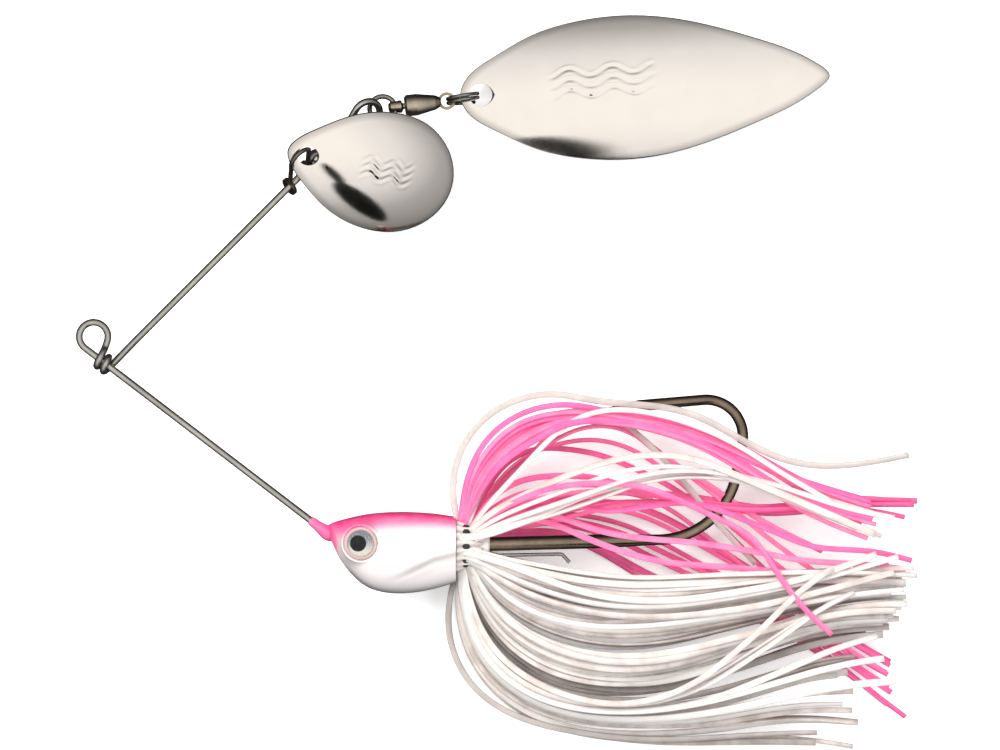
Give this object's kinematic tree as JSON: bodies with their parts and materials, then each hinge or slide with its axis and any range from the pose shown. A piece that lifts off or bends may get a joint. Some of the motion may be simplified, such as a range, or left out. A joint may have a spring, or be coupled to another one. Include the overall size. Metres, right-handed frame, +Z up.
{
  "type": "spinnerbait",
  "caption": "V-shaped wire fishing lure with a painted weighted head, single hook, silicone skirt and two spinning metal blades on a swivel and a clevis.",
  "frame": {"origin": "centre of the footprint, on the surface that the lure lies on", "axes": "+X from the line tie towards the tips of the skirt, +Y from the head towards the blade arm, +Z up, square to the plane of the wire frame; the lure lies on its right side"},
  "size_m": [0.1222, 0.1039, 0.0121],
  "materials": {
    "spring_wire": "bright drawn stainless wire",
    "head_paint": "pearl white paint fading to pink on the back, clear coated",
    "eye_print": "silver print with a round black pupil",
    "eye_clear": "clear resin",
    "black_nickel": "black nickel plate",
    "keeper_wire": "drawn wire",
    "band_rubber": "matte black rubber",
    "skirt_pink": "translucent pink silicone",
    "skirt_white": "pearl white silicone",
    "bead_silver": "polished",
    "dark_steel": "antiqued dark nickel",
    "nickel_blade": "polished nickel plate"
  },
  "bodies": {
    "frame": {"frame_wire": "spring_wire", "head_body": "head_paint", "eye_disc_left": "eye_print", "eye_lens_left": "eye_clear", "eye_disc_right": "eye_print", "eye_lens_right": "eye_clear", "hook": "black_nickel", "trailer_keeper": "keeper_wire", "skirt_waist": "skirt_white", "skirt_band": "band_rubber", "skirt_front_upper_left": "skirt_pink", "skirt_front_upper_right": "skirt_pink", "skirt_front_lower_left": "skirt_white", "skirt_front_lower_right": "skirt_white", "skirt_rear_upper_left": "skirt_pink", "skirt_rear_upper_right": "skirt_pink", "skirt_rear_lower_left": "skirt_white", "skirt_rear_lower_right": "skirt_white"},
    "front_bead": {"front_bead": "bead_silver"},
    "rear_bead": {"rear_bead": "bead_silver"},
    "clevis": {"clevis": "dark_steel"},
    "front_blade": {"front_blade": "nickel_blade"},
    "coupling_ring": {"coupling_ring": "dark_steel"},
    "swivel_stem": {"swivel_stem": "dark_steel"},
    "swivel_balls": {"swivel_balls": "spring_wire"},
    "swivel_barrel": {"swivel_barrel": "dark_steel", "swivel_eye_plug": "dark_steel"},
    "split_ring": {"split_ring": "spring_wire"},
    "rear_blade": {"rear_blade": "nickel_blade"}
  },
  "joints": [
    {"name": "front_bead_slide", "type": "slide", "parent": "frame", "child": "front_bead", "axis": [0.7071, 0.7071, 0], "range_m": [-0.018, 0]},
    {"name": "clevis_spin", "type": "hinge", "parent": "front_bead", "child": "clevis", "pos_m": [-0.02945, 0.02826, 0.0057], "axis": [0.7071, 0.7071, 0], "continuous": true},
    {"name": "front_blade_swing", "type": "hinge", "parent": "clevis", "child": "front_blade", "pos_m": [-0.02895, 0.03076, 0.01005], "axis": [0.6725, -0.6725, 0.309], "range_deg": [0, 50]},
    {"name": "rear_bead_spin", "type": "hinge", "parent": "frame", "child": "rear_bead", "pos_m": [-0.02464, 0.03307, 0.0057], "axis": [0.7071, 0.7071, 0], "continuous": true},
    {"name": "coupling_ring_swing", "type": "hinge", "parent": "frame", "child": "coupling_ring", "pos_m": [-0.0179, 0.0381, 0.00469], "axis": [0.1631, -0.803, -0.5732], "range_deg": [-14, 8]},
    {"name": "swivel_stem_swing", "type": "hinge", "parent": "coupling_ring", "child": "swivel_stem", "pos_m": [-0.01561, 0.03841, 0.00464], "axis": [-0.1267, 0.9576, -0.2587], "range_deg": [-30, 30]},
    {"name": "swivel_spin", "type": "hinge", "parent": "swivel_stem", "child": "swivel_barrel", "pos_m": [-0.01299, 0.03873, 0.00454], "axis": [0.9919, 0.1218, -0.0349], "continuous": true},
    {"name": "ball_orbit", "type": "hinge", "parent": "swivel_stem", "child": "swivel_balls", "pos_m": [-0.01299, 0.03873, 0.00454], "axis": [0.9919, 0.1218, -0.0349], "continuous": true},
    {"name": "split_ring_swing", "type": "hinge", "parent": "swivel_barrel", "child": "split_ring", "pos_m": [-0.00827, 0.03931, 0.00438], "axis": [0.0346, 0.0043, 0.9994], "range_deg": [-30, 30]},
    {"name": "rear_blade_swing", "type": "hinge", "parent": "split_ring", "child": "rear_blade", "pos_m": [-0.00597, 0.03959, 0.0043], "axis": [0.1219, -0.9925, 0], "range_deg": [-35, 35]}
  ],
  "couplings": [
    {"joint": "ball_orbit", "follows": "swivel_spin", "ratio": 0.5}
  ]
}
